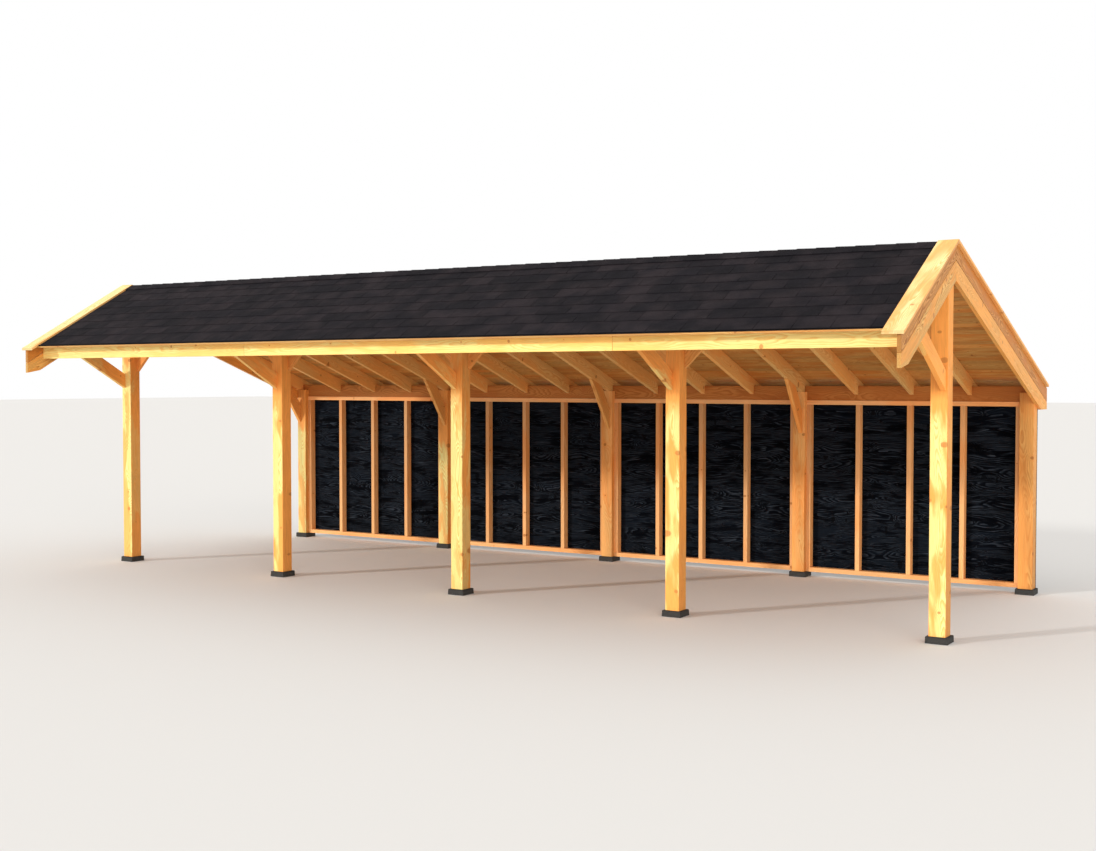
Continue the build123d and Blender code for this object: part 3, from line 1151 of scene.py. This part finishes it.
def layShingles(node):
    rng = random.Random(next(seeds))
    low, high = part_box(node)
    eaveLow, eaveHigh, ridgeLow, ridgeHigh, up, normal = slopeOf(node)
    length = (ridgeLow - eaveLow).dot(up)
    felt, slot, tab = (shingleTabs[label] for label in ("felt", "slot", "tab"))
    upSlope = Vector((0.0, up.x, up.y))
    sheets = newSheets()

    def lay(solid, endGrain=0.0):
        addTimber(sheets, solid, alongBarn, upSlope, None, rng, endGrain)

    def at(x, along, height):
        point = eaveLow + up * along + normal * height
        return (x, point.x, point.y)

    edge = eaveHigh - eaveLow
    share = felt / edge.dot(normal)
    feltEave, feltRidge = eaveLow.lerp(eaveHigh, share), ridgeLow.lerp(ridgeHigh, share)
    lay(prismAlong([eaveLow, feltEave, feltRidge, ridgeLow], low.x, high.x))
    strip = up * shingleTabs["eaveStrip"]
    lay(prismAlong([feltEave, eaveHigh, eaveHigh + strip, feltEave + strip], low.x, high.x), 1.0)

    under, top = felt - shingleTabs["bedded"], felt + shingleTabs["tucked"]
    plumb = edge.dot(up) / edge.dot(normal)  # the first course ends plumb, as the eave does
    slip, cover = 0.0, shingleTabs["firstCourse"]
    start, course = shingleTabs["eaveStrip"], 0
    while start < length - shingleTabs["lastCourse"]:
        end = min(start + cover, length)
        stagger = rng.uniform(-shingleTabs["stagger"], shingleTabs["stagger"])
        edgeX = low.x - (course % 2) * tab / 2 + stagger
        while edgeX < high.x:
            left = max(edgeX + slot / 2, low.x + shingleTabs["gutter"])
            right = min(edgeX + tab - slot / 2, high.x - shingleTabs["gutter"])
            edgeX += tab
            if right - left < shingleTabs["narrowest"]:
                continue
            if course:
                slip = rng.uniform(0.0, shingleTabs["slip"])
            lift, otherLift = (
                felt + shingleTabs["step"] - rng.uniform(0.0, shingleTabs["play"]) for _ in range(2)
            )
            foot = start + slip
            lower = [
                at(left, foot + plumb * felt, under),
                at(right, foot + plumb * felt, under),
                at(right, end, under),
                at(left, end, under),
            ]
            upper = [
                at(left, foot + plumb * lift, lift),
                at(right, foot + plumb * otherLift, otherLift),
                at(right, end, top),
                at(left, end, top),
            ]
            lay(skinned(lower, upper))
        start, course, plumb, cover = end, course + 1, 0.0, shingleTabs["cover"]
    finishPiece(node, sheets, shingleFelt)


for node in ("front_shingles", "back_shingles"):
    layShingles(node)

# Ridge: folded shingle pieces that lap along the ridge

ridgeShingles = {
    "cover": 0.1833,
    "thin": 0.42,  # share of the strip's depth at the end that the next piece covers
    "play": 0.08,
}


def ridgeLines(corners):
    # Inner and outer line of the folded strip, each from front to back
    peak = max(corners, key=lambda corner: corner[1])
    rest = [corner for corner in corners if corner != peak]
    inside = min(rest, key=lambda corner: abs(corner[0] - peak[0]))
    rest.remove(inside)
    front = sorted((c for c in rest if c[0] < peak[0]), key=lambda c: c[1])
    back = sorted((c for c in rest if c[0] > peak[0]), key=lambda c: c[1])
    return [front[0], inside, back[0]], [front[1], peak, back[1]]


def layRidge(node):
    rng = random.Random(next(seeds))
    low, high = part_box(node)
    inner, outer = ridgeLines(sectionOf(node))
    sheets = newSheets()
    count = round((high.x - low.x) / ridgeShingles["cover"])
    width = (high.x - low.x) / count
    for i in range(count):
        left, right = low.x + i * width, low.x + (i + 1) * width
        full = 1.0 - rng.uniform(0.0, ridgeShingles["play"])
        rings = []
        for x, share in ((left, full), (right, ridgeShingles["thin"])):
            over = [Vector(a).lerp(Vector(b), share) for a, b in zip(inner, outer)]
            rings.append([(x, y, z) for y, z in (*inner, *over[::-1])])
        addTimber(sheets, skinned(*rings), alongBarn, acrossBarn, None, rng, 0.0)
    finishPiece(node, sheets, shingleFelt)


layRidge("ridge_cap")
print("shingles laid")

# Base blocks, cast and a little pitted

castBlocks = {
    "eased": 0.004,
    "cuts": 7,
    "longerThan": 0.02,  # edges that are divided
    "pitDepth": 0.0016,
    "pitSize": 26.0,
    "pitShare": 0.2,
    "bottomBand": 0.001,  # left as it is, so the block stands flat
    "heart": (0.3, 0.0, 0.3),
}


def castBaseBlocks(node):
    rng = random.Random(next(seeds))
    sheets = newSheets()
    for solid in looseSolids(node):
        easeEdges(solid, castBlocks["eased"], meshing["blunt"])
        many = [face for face in solid.faces if len(face.verts) > 4]
        bmesh.ops.triangulate(solid, faces=many)
        long = [edge for edge in solid.edges if edge.calc_length() > castBlocks["longerThan"]]
        cuts = castBlocks["cuts"]
        bmesh.ops.subdivide_edges(solid, edges=long, cuts=cuts, use_grid_fill=True)
        solid.normal_update()
        bottom = min(v.co.z for v in solid.verts) + castBlocks["bottomBand"]
        moves = []
        for v in solid.verts:
            worn = noise.noise(v.co * castBlocks["pitSize"]) + castBlocks["pitShare"]
            worn = max(0.0, worn) if v.co.z > bottom else 0.0
            moves.append(-v.normal * worn * castBlocks["pitDepth"])
        for v, move in zip(solid.verts, moves):
            v.co += Vector((move.x, move.y, min(0.0, move.z)))
        addTimber(sheets, solid, alongBarn, acrossBarn, castBlocks["heart"], rng)
    finishPiece(node, sheets, castConcrete)


castBaseBlocks("base_blocks")
print("base blocks cast")

# Pale floor and white surroundings

floor = {"reach": 140.0, "colour": (0.78, 0.80, 0.83, 1.0), "rough": 0.9, "gloss": 0.2}
sky = {
    "colour": (1.0, 0.945, 0.875, 1.0),
    "strength": 0.9,
    "background": (1.0, 1.0, 1.0, 1.0),
}


def layFloor():
    material, _, shader = newMaterial("paleFloor", floor["gloss"])
    shader.inputs["Base Color"].default_value = floor["colour"]
    shader.inputs["Roughness"].default_value = floor["rough"]
    data = bpy.data.meshes.new("studioFloor")
    reach = floor["reach"]
    corners = [(-reach, -reach), (reach, -reach), (reach, reach), (-reach, reach)]
    data.from_pydata([(x, y, 0.0) for x, y in corners], [], [(0, 1, 2, 3)])
    data.materials.append(material)
    studioFloor = bpy.data.objects.new("studioFloor", data)
    scene.collection.objects.link(studioFloor)


def lightWorld():
    # The sky lights the barn, and the camera, reflections and glass see plain white
    world = bpy.data.worlds.new("studioWorld")
    scene.world = world
    world.use_nodes = True
    tree = world.node_tree
    tree.nodes.clear()
    ray = addNode(tree, "ShaderNodeLightPath").outputs
    seen = calc(tree, "MAXIMUM", ray["Is Glossy Ray"], ray["Is Transmission Ray"])
    seen = calc(tree, "MAXIMUM", ray["Is Camera Ray"], seen)
    glow = addNode(tree, "ShaderNodeBackground")
    feedAll(tree, glow, {"Color": sky["colour"], "Strength": sky["strength"]})
    plain = addNode(tree, "ShaderNodeBackground")
    feed(tree, plain.inputs["Color"], sky["background"])
    mixed = addNode(tree, "ShaderNodeMixShader")
    for socket, value in zip(mixed.inputs, (seen, glow.outputs[0], plain.outputs[0])):
        feed(tree, socket, value)
    out = addNode(tree, "ShaderNodeOutputWorld")
    feed(tree, out.inputs["Surface"], mixed.outputs[0])


layFloor()
lightWorld()
print("studio set")
